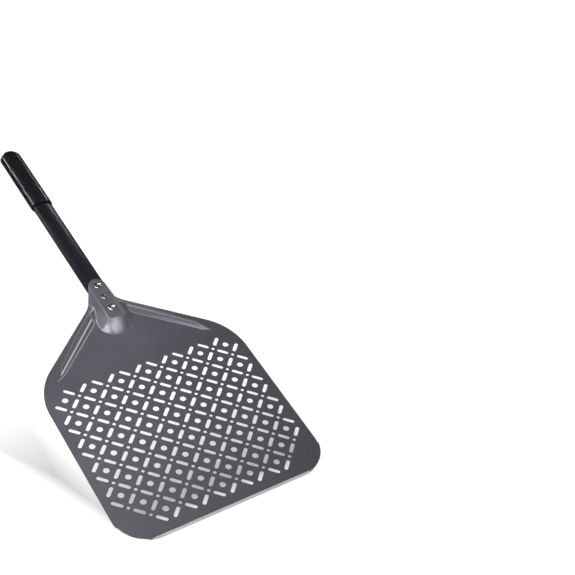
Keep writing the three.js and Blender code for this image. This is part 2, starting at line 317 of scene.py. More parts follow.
def blade_outline():
    """The blade's outline, counter-clockwise, in x and distance from the front."""
    quarter = math.pi / 2
    corner_centre = (HALF_WIDTH - FRONT_CORNER, FRONT_CORNER)
    tongue_centre = (0, BLADE_LENGTH - TONGUE_RADIUS)
    half = np.vstack([
        arc(corner_centre, FRONT_CORNER, -quarter, 0),
        arc(Shoulder.centre, SHOULDER_CORNER, 0, quarter - SHOULDER_ANGLE),
        arc(Shoulder.fillet_centre, NECK_FILLET, 3 * quarter - SHOULDER_ANGLE, 3 * quarter - NECK_ANGLE),
        arc(tongue_centre, TONGUE_RADIUS, quarter - NECK_ANGLE, quarter),
    ])
    other_half = (half[:-1] * [-1, 1])[::-1]
    return divided(np.vstack([half, other_half]))


def divided(loop):
    """The closed loop with its long straight stretches cut into shorter ones."""
    points = []
    for a, b in zip(loop, np.roll(loop, -1, axis=0)):
        pieces = max(1, math.ceil(np.linalg.norm(b - a) / (3 * ARC_STEP)))
        points += [a + (b - a) * k / pieces for k in range(pieces)]
    return np.array(points)


def slot(centre, angle):
    """The clockwise outline of a slot whose long axis has this angle."""
    half_straight = (SLOT_LENGTH - SLOT_WIDTH) / 2
    reach = half_straight * np.array([math.cos(angle), math.sin(angle)])
    quarter = math.pi / 2
    radius = SLOT_WIDTH / 2
    far = arc(centre + reach, radius, angle + quarter, angle - quarter, SLOT_END_STEPS)
    near = arc(centre - reach, radius, angle - quarter, angle - 3 * quarter, SLOT_END_STEPS)
    return np.vstack([far, near])


def round_hole(centre, diameter, sides):
    """The clockwise outline of a round hole."""
    return arc(centre, diameter / 2, 2 * math.pi, 0, sides)[:-1]


def field_holes():
    """Every hole's outline, clockwise. Slots frame the round holes, which alternate in size."""
    middle = -FRONT
    holes = []
    for row in SLOT_ROWS:
        reach = SLOT_ROW_REACH.get(row, FULL_SLOT_REACH)
        for column in np.arange(-reach, reach + 0.5):
            leaning = math.pi / 4 if (column + 0.5 + row) % 2 == 0 else -math.pi / 4
            holes.append(slot(np.array([column * PITCH, middle + row * PITCH]), leaning))
    for row in HOLE_ROWS:
        reach = FRONT_HOLE_REACH if row == HOLE_ROWS[0] else FULL_HOLE_REACH
        for column in np.arange(-reach, reach + 0.5):
            large = (column + row + 0.5) % 2 == 0
            diameter, sides = (LARGE_HOLE, LARGE_HOLE_SIDES) if large else (SMALL_HOLE, SMALL_HOLE_SIDES)
            holes.append(round_hole((column * PITCH, middle + row * PITCH), diameter, sides))
    return holes


def rivet_holes():
    """The outlines of the rivets' holes in the channel's roof, clockwise."""
    holes = []
    for index in RIVETS:
        low, high = node_box(f"rivet_body_{index}")
        centre = (0, (low[1] + high[1]) / 2 - FRONT)
        holes.append(round_hole(centre, RIVET_HOLE, LARGE_HOLE_SIDES))
    return holes


# ---- Blade relief ------------------------------------------------------------------------------

def soft_min(a, b, bend):
    """The lower of two heights, with the crease between them rounded."""
    overlap = np.clip(bend - np.abs(a - b), 0, None) / bend
    return np.minimum(a, b) - overlap**2 * bend / 4


def soft_max(a, b, bend):
    """The higher of two heights, with the crease between them rounded."""
    return -soft_min(-a, -b, bend)


def line(gap, width, highlight=1.0):
    """The painted highlight on a crease, falling to 0 where the gap between its two faces exceeds width.
    """
    return highlight * np.clip(1 - np.abs(gap) / width, 0, 1)


def smooth_step(value, low, high):
    """Climbs smoothly from 0 at low to 1 at high."""
    share = np.clip((value - low) / (high - low), 0, 1)
    return share**2 * (3 - 2 * share)


def channel_rise(x, y, inset):
    """The neck channel's rise over the sheet, below 0 outside it, and the painted highlights on its
    creases.
    inset narrows it for the hollow underneath."""
    side = np.abs(x)
    widest = FLARE_HALF - inset
    reach = FLARE_WIDEST - FLARE_FRONT - inset
    ahead = np.clip((FLARE_WIDEST - y) / reach, 0, 1)
    front_half = widest * (1 - ahead**FLARE_POWER) ** (1 / FLARE_POWER)
    back_half = widest - (FLARE_HALF - CHANNEL_FOOT) * smooth_step(y, FLARE_WIDEST, FLARE_BACK)
    foot_half = np.where(y < FLARE_WIDEST, front_half, back_half)
    wall_run = np.maximum(foot_half - (ROOF_HALF - inset), SHORTEST_RUN)
    wall = ROOF_HEIGHT * (foot_half - side) / wall_run
    beside = np.clip(side / widest, 0, 1)
    foot_y = FLARE_WIDEST - reach * (1 - beside**FLARE_POWER) ** (1 / FLARE_POWER)
    ramp = ROOF_HEIGHT * (y - foot_y) / np.maximum(RAMP_TOP + inset - foot_y, SHORTEST_RUN)
    climb = np.clip(ramp / ROOF_HEIGHT, 0, 1)
    ramp = ramp - 4 * RAMP_CROWN * climb * (1 - climb) * np.minimum((x / ROOF_HALF) ** 2, 1)
    depth = np.clip(1 - np.minimum(wall, ramp) / ROOF_HEIGHT, 0, 1)
    slopes = soft_min(wall, ramp, np.minimum(RIDGE_BEND + RIDGE_BEND_GAIN * depth, RIDGE_BEND_LIMIT))
    below_roof = slopes - ROOF_HEIGHT
    wall_crease = np.maximum(
        line(below_roof, WALL_BROW, WALL_BROW_HIGHLIGHT), line(slopes, WALL_FOOT, WALL_FOOT_HIGHLIGHT)
    )
    ramp_crease = np.maximum(
        line(below_roof, RAMP_BROW, RAMP_BROW_HIGHLIGHT), line(slopes, RAMP_FOOT, RAMP_FOOT_HIGHLIGHT)
    )
    crease = np.where(wall < ramp, wall_crease, ramp_crease)
    return soft_min(slopes, ROOF_HEIGHT, ROOF_BEND), crease


def rib_rise(x, along, inward):
    """A shoulder rib's rise over the sheet, below 0 outside it, and the painted highlights on its creases.
    along and inward are measured from the rib's zero point."""
    sweep = along / RIB_BODY
    to_tip = RIB_LENGTH - along
    outer_foot = np.maximum(OUTER_FOOT + OUTER_FOOT_SWEEP * sweep**2, OUTER_TIP - OUTER_TIP_SLOPE * to_tip)
    inner_foot = np.minimum(INNER_FOOT + INNER_FOOT_SWEEP * sweep, INNER_TIP + INNER_TIP_SLOPE * to_tip)
    inner_flank = INNER_FLANK - INNER_FLANK_TAPER * along
    end_along, end_inward = END_FOOT
    from_end = math.cos(END_ANGLE) * (along - end_along) + math.sin(END_ANGLE) * (inward - end_inward)
    outer = RIB_HEIGHT * (inward - outer_foot) / OUTER_FLANK
    inner = RIB_HEIGHT * (inner_foot - inward) / inner_flank
    end = RIB_HEIGHT * from_end / END_FLANK
    sides = soft_min(soft_min(outer, inner, RIB_BEND), end, RIB_BEND)

    on_inner = (inner <= outer) & (inner <= end)
    on_outer = (outer < inner) & (outer <= end)

    def by_face(inner_value, outer_value, end_value):
        return np.select([on_inner, on_outer], [inner_value, outer_value], end_value)

    # Painted highlights on the rib's crest and foot lines.
    width = CREASE_HALF * RIB_HEIGHT / by_face(inner_flank, OUTER_FLANK, END_FLANK)
    crest = line(sides - RIB_HEIGHT, width, by_face(*CREST_HIGHLIGHT))
    foot = line(sides, width, by_face(*FOOT_HIGHLIGHT))
    # On the right rib the painted highlight is a band along its top, with faint crest lines.
    from_middle = inward - (outer_foot + inner_foot) / 2 + BAND_OFFSET
    band = line(from_middle, BAND_HALF, BAND_HIGHLIGHT) * line(sides - BAND_LEVEL, BAND_FADE)
    right_crest = np.maximum(band, RIGHT_CREST_SHARE * crest)
    right_foot = np.where(on_outer, 0, RIGHT_FOOT_SHARE * foot)
    crease = np.where(x > 0, np.maximum(right_crest, right_foot), np.maximum(crest, foot))
    return soft_min(sides, RIB_HEIGHT, RIB_BEND), crease


def bench_rise(from_edge, y):
    """The sheet's rise beside the neck, where it climbs to the tongue, and the painted highlight on its
    outer crease.
    """
    level = BENCH_HEIGHT * smooth_step(y, BENCH_START, BENCH_END) - BENCH_SINK
    slope = BENCH_SLOPE * (from_edge - BENCH_MARGIN)
    highlight = np.clip(level / RIB_HEIGHT, 0, BENCH_HIGHLIGHT)
    return soft_min(slope, level, RIB_BEND), line(slope - level, BENCH_SLOPE * CREASE_HALF, highlight)


def relief(x, y, inset):
    """How far the pressed forms rise over the flat sheet, and the painted highlights on its creases."""
    side = np.stack([np.abs(x), y], -1)
    along = (side - Shoulder.rib_zero) @ Shoulder.along
    inward = (Shoulder.rib_zero - side) @ Shoulder.normal
    from_fillet = np.linalg.norm(side - Shoulder.fillet_centre, axis=-1) - NECK_FILLET
    channel, channel_crease = channel_rise(x, y, inset)
    rib, rib_crease = rib_rise(x, along, inward)
    bench, bench_crease = bench_rise(np.where(along < RIB_ZERO, from_fillet, inward), y)
    pressed = soft_max(rib, bench, RIB_BEND)
    crease = np.where(rib > bench, rib_crease, bench_crease)
    # A painted highlight where the channel meets the rib or the bench.
    meeting = line(channel - pressed, MEETING, np.clip(pressed / RIB_HEIGHT, 0, MEETING_HIGHLIGHT))
    crease = np.maximum(np.where(channel > pressed, channel_crease, crease), meeting)
    return soft_max(soft_max(channel, pressed, FOOT_BEND), 0, RIB_BEND), crease


def top_height(x, y):
    """The blade's upper face above its underside plane, and the painted highlights on its creases."""
    height, crease = relief(x, y, 0)
    bevel = BEVEL_DROP * np.clip(1 - y / BEVEL_LENGTH, 0, 1)
    return SHEET + height - bevel, crease


def under_height(x, y):
    """The blade's lower face, which follows the pressed forms one sheet thickness below, and the
    painted highlights on its creases."""
    return relief(x, y, WALL_INSET)


def surface_normals(height, x, y):
    """Unit upward normals of a height function that also returns painted crease highlights."""
    step = 0.05
    slope_x = (height(x + step, y)[0] - height(x - step, y)[0]) / (2 * step)
    slope_y = (height(x, y + step)[0] - height(x, y - step)[0]) / (2 * step)
    normals = np.stack([-slope_x, -slope_y, np.ones_like(x)], -1)
    return normals / np.linalg.norm(normals, axis=-1, keepdims=True)


# ---- Blade mesh --------------------------------------------------------------------------------

def outward(loop):
    """Unit vectors out of the material, which lies on the left of every loop's direction."""
    forward = np.roll(loop, -1, axis=0) - loop
    forward /= np.linalg.norm(forward, axis=1, keepdims=True)
    tangent = forward + np.roll(forward, 1, axis=0)
    tangent /= np.linalg.norm(tangent, axis=1, keepdims=True)
    return np.column_stack([tangent[:, 1], -tangent[:, 0]])


def inside(points, loop):
    """True for each point inside a closed loop."""
    x, y = points[:, 0], points[:, 1]
    within = np.zeros(len(points), bool)
    for (ax, ay), (bx, by) in zip(loop, np.roll(loop, -1, axis=0)):
        if ay != by:
            crosses = (ay > y) != (by > y)
            within ^= crosses & (x < ax + (bx - ax) * (y - ay) / (by - ay))
    return within


def relief_points(outline, holes):
    """Extra points where the blade isn't flat, so that its surface follows the pressed forms."""
    neck_half = FLARE_HALF + GRID_MARGIN
    neck_x = np.arange(-neck_half, neck_half, NECK_GRID)
    neck_y = np.arange(FLARE_FRONT - GRID_MARGIN, BLADE_LENGTH, NECK_GRID)
    neck = np.stack(np.meshgrid(neck_x, neck_y), -1).reshape(-1, 2)
    along, inward = np.meshgrid(
        np.arange(-GRID_MARGIN, RIB_LENGTH + GRID_MARGIN, RIB_GRID_ALONG),
        np.arange(*RIB_GRID_BAND, RIB_GRID_ACROSS),
    )
    rib = (
        Shoulder.rib_zero
        + along.reshape(-1, 1) * Shoulder.along
        - inward.reshape(-1, 1) * Shoulder.normal
    )
    rib = rib[rib[:, 0] > neck_half]
    rows = [0.5 * BEVEL_LENGTH, BEVEL_LENGTH - BEVEL_ARRIS, BEVEL_LENGTH + BEVEL_ARRIS]
    bevel_x = np.arange(-HALF_WIDTH, HALF_WIDTH, 3 * ARC_STEP)
    bevel = np.stack(np.meshgrid(bevel_x, rows), -1).reshape(-1, 2)
    points = np.vstack([neck, rib, rib * [-1, 1], bevel])
    clear = 2 * EDGE_RADIUS
    points = points[inside(points, outline - clear * outward(outline))]
    for hole in holes:
        centre = hole.mean(0)
        reach = np.linalg.norm(hole - centre, axis=1).max() + clear
        points = points[np.linalg.norm(points - centre, axis=1) > reach]
    return points


def blade_mesh():
    """The blade as two relief surfaces over one plan, joined round every edge and hole."""
    outline = blade_outline()
    riveted = rivet_holes()
    loops = [outline, *riveted, *field_holes()]
    out = [outward(loop) for loop in loops]
    inner = [loop - EDGE_RADIUS * o for loop, o in zip(loops, out)]
    plan = np.vstack([*inner, relief_points(outline, riveted)])

    starts = np.cumsum([0] + [len(loop) for loop in inner])
    outer_face = list(range(starts[1]))
    hole_faces = [list(range(b - 1, a - 1, -1)) for a, b in zip(starts[1:], starts[2:])]
    with_holes = 2
    tolerance = 1e-6
    joined, _, triangles, sources, _, _ = delaunay_2d_cdt(
        [Vector(p) for p in plan], [], [outer_face, *hole_faces], with_holes, tolerance
    )
    place = {source: i for i, group in enumerate(sources) for source in group}
    flat = np.array([tuple(p) for p in joined])
    x, y = flat[:, 0], flat[:, 1]
    top, top_crease = top_height(x, y)
    under, under_crease = under_height(x, y)
    top_normals = surface_normals(top_height, x, y)
    under_normals = -surface_normals(under_height, x, y)
    count = len(flat)

    vertices = [np.column_stack([x, y, top]), np.column_stack([x, y, under])]
    normals = [top_normals, under_normals]
    creases = [top_crease, under_crease]
    bare = [(y < BEVEL_LENGTH) * 1.0, np.zeros(count)]
    faces = []
    for a, b, c in triangles:
        turn = (x[b] - x[a]) * (y[c] - y[a]) - (x[c] - x[a]) * (y[b] - y[a])
        a, b, c = (a, b, c) if turn > 0 else (a, c, b)
        faces += [(a, b, c), (count + a, count + c, count + b)]

    total = 2 * count
    for loop, o, start in zip(loops, out, starts):
        size = len(loop)
        rim = [place[start + i] for i in range(size)]
        rings, ring_normals = edge_rings(loop, o)
        indices = [rim] + [[total + k * size + i for i in range(size)] for k in range(len(rings))]
        indices.append([count + i for i in rim])
        for upper, lower in zip(indices, indices[1:]):
            for i in range(size):
                j = (i + 1) % size
                faces.append((upper[i], lower[i], lower[j], upper[j]))
        vertices += rings
        normals += ring_normals
        creases += [np.zeros(size)] * len(rings)
        bare += [(loop[:, 1] < BEVEL_LENGTH) * 1.0] * len(rings)
        total += size * len(rings)
    points = np.vstack(vertices)
    points[:, 1] += FRONT
    # "crease" carries the painted crease highlights to the material; "bare" marks the ground bevel.
    values = {"crease": np.concatenate(creases), "bare": np.concatenate(bare)}
    return points, faces, np.vstack(normals), values


def edge_rings(loop, out):
    """The rings that carry a cut edge from the upper face to the lower, with rounded arrises."""
    r = EDGE_RADIUS
    x, y = loop[:, 0], loop[:, 1]
    top = top_height(x, y)[0]
    under = under_height(x, y)[0]
    r_fit = np.minimum(r, (top - under) / 3)
    level = np.column_stack([out, np.zeros(len(loop))])
    slanted_up = level + surface_normals(top_height, x, y)
    slanted_down = level - surface_normals(under_height, x, y)
    slanted_up /= np.linalg.norm(slanted_up, axis=1, keepdims=True)
    slanted_down /= np.linalg.norm(slanted_down, axis=1, keepdims=True)
    near = loop - ARC_MIDDLE * r * out
    rings = [
        np.column_stack([near, top - ARC_MIDDLE * r_fit]),
        np.column_stack([loop, top - r_fit]),
        np.column_stack([loop, under + r_fit]),
        np.column_stack([near, under + ARC_MIDDLE * r_fit]),
    ]
    return rings, [slanted_up, level, level, slanted_down]


# ---- Handle meshes -----------------------------------------------------------------------------

def oval_ring(half_width, half_height, y):
    """An upright oval about the tube's axis."""
    angle = np.linspace(0, 2 * math.pi, TUBE_SIDES, endpoint=False)
    axis_z = (TUBE_LOW[2] + TUBE_HIGH[2]) / 2
    x = half_width * np.cos(angle)
    z = axis_z + half_height * np.sin(angle)
    return np.column_stack([x, np.full(TUBE_SIDES, y), z])


def tube_mesh():
    """The oval tube with its wall and softened ends."""
    a = (TUBE_HIGH[0] - TUBE_LOW[0]) / 2
    b = (TUBE_HIGH[2] - TUBE_LOW[2]) / 2
    front, back = TUBE_LOW[1], TUBE_HIGH[1]
    r = EDGE_RADIUS
    m = ARC_MIDDLE * r
    w = TUBE_WALL
    profile = [
        (0, front + r), (-m, front + m), (-r, front), (r - w, front), (m - w, front + m),
        (-w, front + r), (-w, back - r), (r - w, back), (-r, back), (0, back - r),
    ]
    rings = [oval_ring(a + inset, b + inset, y) for inset, y in profile]
    return skin(rings, "wrap")


def grip_section():
    """The grip's cross-section about the tube's axis, with its long edges rounded."""
    quarter = np.array(GRIP_SECTION)
    right = np.vstack([quarter, quarter[-2::-1] * [1, -1]])
    loop = np.vstack([right, right[-2:0:-1] * [-1, 1]])
    closed = np.vstack([loop, loop[:1]])
    run = np.concatenate([[0], np.cumsum(np.linalg.norm(np.diff(closed, axis=0), axis=1))])
    length = run[-1]
    places = np.linspace(0, length, GRIP_SECTION_POINTS, endpoint=False)
    spread = np.linspace(-GRIP_EDGE_ROUNDING, GRIP_EDGE_ROUNDING, 9)
    at = (places[:, None] + spread) % length
    x = np.interp(at, run, closed[:, 0]).mean(1)
    z = np.interp(at, run, closed[:, 1]).mean(1)
    return np.column_stack([x * quarter[-1][0] / x.max(), z * quarter[0][1] / z.max()])


def grip_mesh():
    """The moulded grip: a faceted oval sleeve with a rounded closed end and an oval socket."""
    section = grip_section()
    front, back = GRIP_LOW[1], GRIP_HIGH[1]
    axis_z = (GRIP_LOW[2] + GRIP_HIGH[2]) / 2
    half_width = GRIP_SECTION[-1][0]
    half_height = GRIP_SECTION[0][1]
    socket_width = TUBE_HIGH[0] + SOCKET_GAP
    socket_height = (TUBE_HIGH[2] - TUBE_LOW[2]) / 2 + SOCKET_GAP
    angle = np.arctan2(section[:, 1] / half_height, section[:, 0] / half_width)

    def ring(width, height, y):
        return np.column_stack([
            section[:, 0] * width, np.full(len(section), y), axis_z + section[:, 1] * height,
        ])

    def socket_ring(grow, y):
        x = (socket_width + grow) * np.cos(angle)
        z = (socket_height + grow) * np.sin(angle)
        return np.column_stack([x, np.full(len(section), y), axis_z + z])

    def width_at(y):
        into = max(0.0, y - (back - GRIP_END_RADIUS))
        core = math.sqrt(max(0.0, GRIP_END_RADIUS**2 - into**2)) / half_width
        fade = min(1.0, max(0.0, (y - (back - WING_FADE_START)) / WING_FADE))
        wings = 1 - WING_LOSS * fade**WING_POWER
        return wings if y < back - WING_END else min(wings, core)

    def height_at(y):
        into = max(0.0, y - (back - GRIP_NOSE)) / GRIP_NOSE
        return (1 - into**3) ** (1 / 3)

    rings = []
    tip_share = 0.02  # the last ring's size, so that it isn't a single point
    for share in np.linspace(0, 1, GRIP_NOSE_RINGS):
        y = back - GRIP_NOSE_REACH * (1 - math.cos(share * math.pi / 2))
        rings.append(ring(max(width_at(y), tip_share), max(height_at(y), tip_share), y))
    for y in np.linspace(back - GRIP_BODY_BACK, front + GRIP_BODY_FRONT, GRIP_BODY_RINGS):
        rings.append(ring(1, 1, y))
    for depth, share in GRIP_LIP:
        rings.append(ring(share, share, front + depth))
    for wider, depth in SOCKET_LEAD_IN:
        rings.append(socket_ring(wider, front + depth))
    rings.append(socket_ring(0, TUBE_HIGH[1] + SOCKET_END_GAP))
    return skin(rings, "cap")


# ---- Rivet meshes ------------------------------------------------------------------------------

def rivet_mesh(index):
    """A blind rivet's body: bulb, shank, domed head and the bore that its mandrel went through."""
    low, high = node_box(f"rivet_body_{index}")
    head = high[0]
    bottom, top = low[2], high[2]
    clamped = TUBE_HIGH[2] - TUBE_WALL
    seat = BLADE_HIGH[2] + RIVET_SEAT_GAP
    rim = seat + RIVET_RIM
    bulb = [
        (RIVET_BORE, bottom), (2.6, bottom), (3.2, bottom + 0.4), (RIVET_BULB, bottom + 1.4),
        (RIVET_BULB, clamped - 1.5), (3.2, clamped - 0.8),
    ]
    shank = [(RIVET_SHANK, clamped - 0.5), (RIVET_SHANK, seat)]
    dome = [(head - 0.15, seat), (head, seat + 0.15)]
    for angle in np.linspace(0, DOME_ANGLE, 14):
        inward = (1 - math.cos(angle)) / (1 - math.cos(DOME_ANGLE))
        upward = math.sin(angle) / math.sin(DOME_ANGLE)
        dome.append((head - (head - DOME_MOUTH) * inward, rim + (top - rim) * upward))
    mouth = [(1.95, top - 0.04), (1.75, top - 0.2), (1.55, top - 0.5), (RIVET_BORE, top - 1.2)]
    return skin(turned([*bulb, *shank, *dome, *mouth], (low + high) / 2), "wrap")


def mandrel_mesh(index):
    """The mandrel's torn stem, and its head inside the rivet's blind end."""
    low, high = node_box(f"rivet_mandrel_{index}")
    bottom, top = low[2], high[2]
    stem = [
        (0.05, top - 0.1), (0.6, top - 0.05), (0.95, top - 0.12), (1.1, top - 0.3),
        (MANDREL_STEM, top - 0.7), (MANDREL_STEM, bottom + 2.75),
    ]
    head = [
        (1.9, bottom + 2.7), (MANDREL_HEAD, bottom + 2.4), (MANDREL_HEAD, bottom + 1.3),
        (1.5, bottom + 0.4), (0.05, bottom),
    ]
    return skin(turned([*stem, *head], (low + high) / 2), "cap")


# ---- Materials ---------------------------------------------------------------------------------

class Shader:
    """A material and short calls for building its node tree."""

    def __init__(self, name):
        self.material = bpy.data.materials.new(name)
        self.material.use_nodes = True
        self.tree = self.material.node_tree
        self.surface = self.tree.nodes["Principled BSDF"]
        self.place = self.add("ShaderNodeTexCoord").outputs["Object"]

    def add(self, kind, inputs=None, **settings):
        """A new node, with its inputs fed and its settings set."""
        node = self.tree.nodes.new(kind)
        for key, value in settings.items():
            setattr(node, key, value)
        for key, value in (inputs or {}).items():
            self.feed(node.inputs[key], value)
        return node

    def feed(self, socket, value):
        """Links another node's output to the socket, or sets the socket's own value."""
        if isinstance(value, bpy.types.NodeSocket):
            self.tree.links.new(value, socket)
        else:
            socket.default_value = value

    def stretched(self, x, y, z):
        """Object coordinates scaled along each axis."""
        return self.add("ShaderNodeMapping", {"Vector": self.place, "Scale": (x, y, z)}).outputs[0]

    def noise(self, vector, scale, detail=3.0, roughness=0.5):
        inputs = {"Vector": vector, "Scale": scale, "Detail": detail, "Roughness": roughness}
        return self.add("ShaderNodeTexNoise", inputs).outputs["Fac"]

    def span(self, value, low, high, to_low, to_high):
        """The value, moved from one range to another and clamped to it."""
        inputs = {
            "Value": value, "From Min": low, "From Max": high, "To Min": to_low, "To Max": to_high,
        }
        return self.add("ShaderNodeMapRange", inputs, clamp=True).outputs["Result"]

    def mix(self, share, a, b):
        """A colour between a and b."""
        node = self.add("ShaderNodeMix", data_type="RGBA")
        self.feed(node.inputs[0], share)
        self.feed(node.inputs[6], a)
        self.feed(node.inputs[7], b)
        return node.outputs[2]

    def blend(self, share, a, b):
        """A number between a and b."""
        node = self.add("ShaderNodeMix", data_type="FLOAT")
        self.feed(node.inputs[0], share)
        self.feed(node.inputs[2], a)
        self.feed(node.inputs[3], b)
        return node.outputs[0]

    def maths(self, operation, *values):
        node = self.add("ShaderNodeMath", operation=operation)
        for socket, value in zip(node.inputs, values):
            self.feed(socket, value)
        return node.outputs[0]

    def value(self, attribute):
        """One of the mesh's own point values."""
        return self.add("ShaderNodeAttribute", attribute_name=attribute).outputs["Fac"]

    def bump(self, height, distance, strength, normal=None):
        inputs = {"Height": height, "Distance": distance, "Strength": strength}
        if normal is not None:
            inputs["Normal"] = normal
        return self.add("ShaderNodeBump", inputs).outputs["Normal"]

    def finish(self, **inputs):
        """Feeds the surface's inputs and returns the material."""
        for key, value in inputs.items():
            self.feed(self.surface.inputs[key.replace("_", " ")], value)
        return self.material


def colour(red, green, blue):
    return (red, green, blue, 1.0)


def blade_material():
    """Blasted, hard-anodised sheet with painted highlights on its creases, and a ground bare-metal front
    bevel.
    """
    s = Shader("anodised_sheet")
    grain = s.noise(s.place, 2600.0, 2.0)
    cloud = s.noise(s.place, 18.0, 4.0, 0.55)
    rolled = s.noise(s.stretched(420.0, 6.0, 420.0), 1.0, 3.0)
    tone = s.mix(s.span(cloud, 0.3, 0.7, 0, 1), colour(0.078, 0.0755, 0.09), colour(0.09, 0.0875, 0.104))
    tone = s.mix(s.span(rolled, 0.35, 0.65, 0, 0.25), tone, colour(0.1, 0.0975, 0.113))
    tone = s.mix(s.span(grain, 0.55, 0.75, 0, 0.35), tone, colour(0.14, 0.137, 0.155))
    # Painted highlights: the creases are mixed towards pale grey.
    crease = s.span(s.value("crease"), 0.1, 1.0, 0, 1.0)
    tone = s.mix(crease, tone, colour(0.78, 0.775, 0.8))
    bare = s.maths("GREATER_THAN", s.value("bare"), 0.5)
    ground = s.noise(s.stretched(30.0, 2400.0, 30.0), 1.0, 2.0)
    steel = s.mix(ground, colour(0.72, 0.72, 0.73), colour(0.95, 0.95, 0.96))
    rough = s.blend(s.span(cloud, 0.3, 0.7, 0, 1), 0.36, 0.42)
    rough = s.blend(crease, rough, 0.3)
    rough = s.blend(bare, rough, s.span(ground, 0.3, 0.7, 0.26, 0.4))
    height = s.blend(bare, grain, ground)
    return s.finish(
        Base_Color=s.mix(bare, tone, steel),
        Metallic=s.blend(bare, 0.45, 1.0),
        Roughness=rough,
        Normal=s.bump(height, 0.00005, 0.25),
    )


def tube_material():
    """Black anodised extrusion with faint die lines along its length."""
    s = Shader("black_anodised_tube")
    lines = s.noise(s.stretched(900.0, 3.0, 900.0), 1.0, 3.0)
    grain = s.noise(s.place, 3200.0, 2.0)
    cloud = s.noise(s.place, 25.0, 3.0)
    tone = s.mix(lines, colour(0.009, 0.0087, 0.012), colour(0.014, 0.0136, 0.018))
    tone = s.mix(s.span(grain, 0.6, 0.8, 0, 0.3), tone, colour(0.03, 0.029, 0.035))
    return s.finish(
        Base_Color=tone,
        Specular_IOR_Level=0.05,
        Roughness=s.blend(s.span(cloud, 0.3, 0.7, 0, 1), 0.3, 0.36),
        Normal=s.bump(lines, 0.00006, 0.2, s.bump(grain, 0.00004, 0.2)),
    )


def grip_material():
    """Black moulded plastic with a fine spark-eroded texture."""
    s = Shader("moulded_grip")
    texture = s.noise(s.place, 1700.0, 3.0, 0.6)
    cloud = s.noise(s.place, 35.0, 3.0)
    tone = s.mix(cloud, colour(0.0075, 0.0073, 0.0095), colour(0.0115, 0.0112, 0.014))
    return s.finish(
        Base_Color=tone,
        Specular_IOR_Level=0.07,
        Roughness=s.blend(texture, 0.22, 0.32),
        Normal=s.bump(texture, 0.00012, 0.35),
    )


def rivet_material():
    """Bright aluminium, faintly marked by the setting tool."""
    s = Shader("rivet_aluminium")
    marks = s.noise(s.place, 900.0, 4.0, 0.6)
    scuffs = s.noise(s.stretched(2500.0, 500.0, 2500.0), 1.0, 2.0)
    tone = s.mix(marks, colour(0.42, 0.42, 0.44), colour(0.62, 0.62, 0.64))
    return s.finish(
        Base_Color=tone,
        Metallic=1.0,
        Roughness=s.span(scuffs, 0.3, 0.7, 0.18, 0.26),
        Normal=s.bump(marks, 0.00003, 0.2),
    )


def mandrel_material():
    """Torn end of a steel mandrel, dull and a little oxidised."""
    s = Shader("mandrel_steel")
    tear = s.noise(s.place, 1900.0, 4.0, 0.7)
    tone = s.mix(tear, colour(0.05, 0.048, 0.046), colour(0.24, 0.235, 0.23))
    return s.finish(
        Base_Color=tone,
        Metallic=1.0,
        Roughness=s.blend(tear, 0.35, 0.6),
        Normal=s.bump(tear, 0.0002, 0.6),
    )


# ---- Build -------------------------------------------------------------------------------------

def build_peel():
    """Every piece in the place of its CAD node."""
    vertices, faces, normals, values = blade_mesh()
    blade = add_mesh("blade_sheet", vertices, faces, blade_material(), normals=normals, values=values)
    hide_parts("blade")

    tube = add_mesh("tube_oval", *tube_mesh(), tube_material(), sharp_degrees=40)
    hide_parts("handle_tube")

    grip = add_mesh("grip_sleeve", *grip_mesh(), grip_material(), sharp_degrees=50)
    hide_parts("grip")

    rivet_look = rivet_material()
    mandrel_look = mandrel_material()
    for index in RIVETS:
        body = add_mesh(f"rivet_{index}", *rivet_mesh(index), rivet_look, sharp_degrees=40)
        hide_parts(f"rivet_body_{index}")
        stub = add_mesh(f"mandrel_{index}", *mandrel_mesh(index), mandrel_look, sharp_degrees=50)
        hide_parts(f"rivet_mandrel_{index}")


# ---- Stage -------------------------------------------------------------------------------------

FLOOR_HALF = 6000.0
FLOOR_GAP = 20.0
ROOM_LIGHT = 0.06

# The floor's painted shadow, under the blade's front and out to its left. Depths are from the front edge.
SHADE_GLOW = 0.35  # what is left of the floor's glow in the full shade
SHADE_AHEAD = 20.0  # the shade's front end
SHADE_DEEP = 40.0  # from here the shade fades towards the handle
SHADE_END = 200.0
SHADE_LEFT = 101.3  # where the left end meets the line of the front edge
SHADE_RIGHT = 130.0
SHADE_SKEW = 0.5  # how far the left end moves left for every step back
SHADE_FADE = 30.0
SHADE_LAG = 110.0  # how much further back the shade reaches left of the blade
LAG_INSIDE = 10.0
LAG_OUTSIDE = 25.0

CAMERA_AZIMUTH = -42.12
CAMERA_ELEVATION = 44.11
CAMERA_ROLL = math.radians(13.8)
CAMERA_DISTANCE = 1704.0
CAMERA_TARGET = (272.2, 177.2, 0.0)
CAMERA_LENS = 69.5


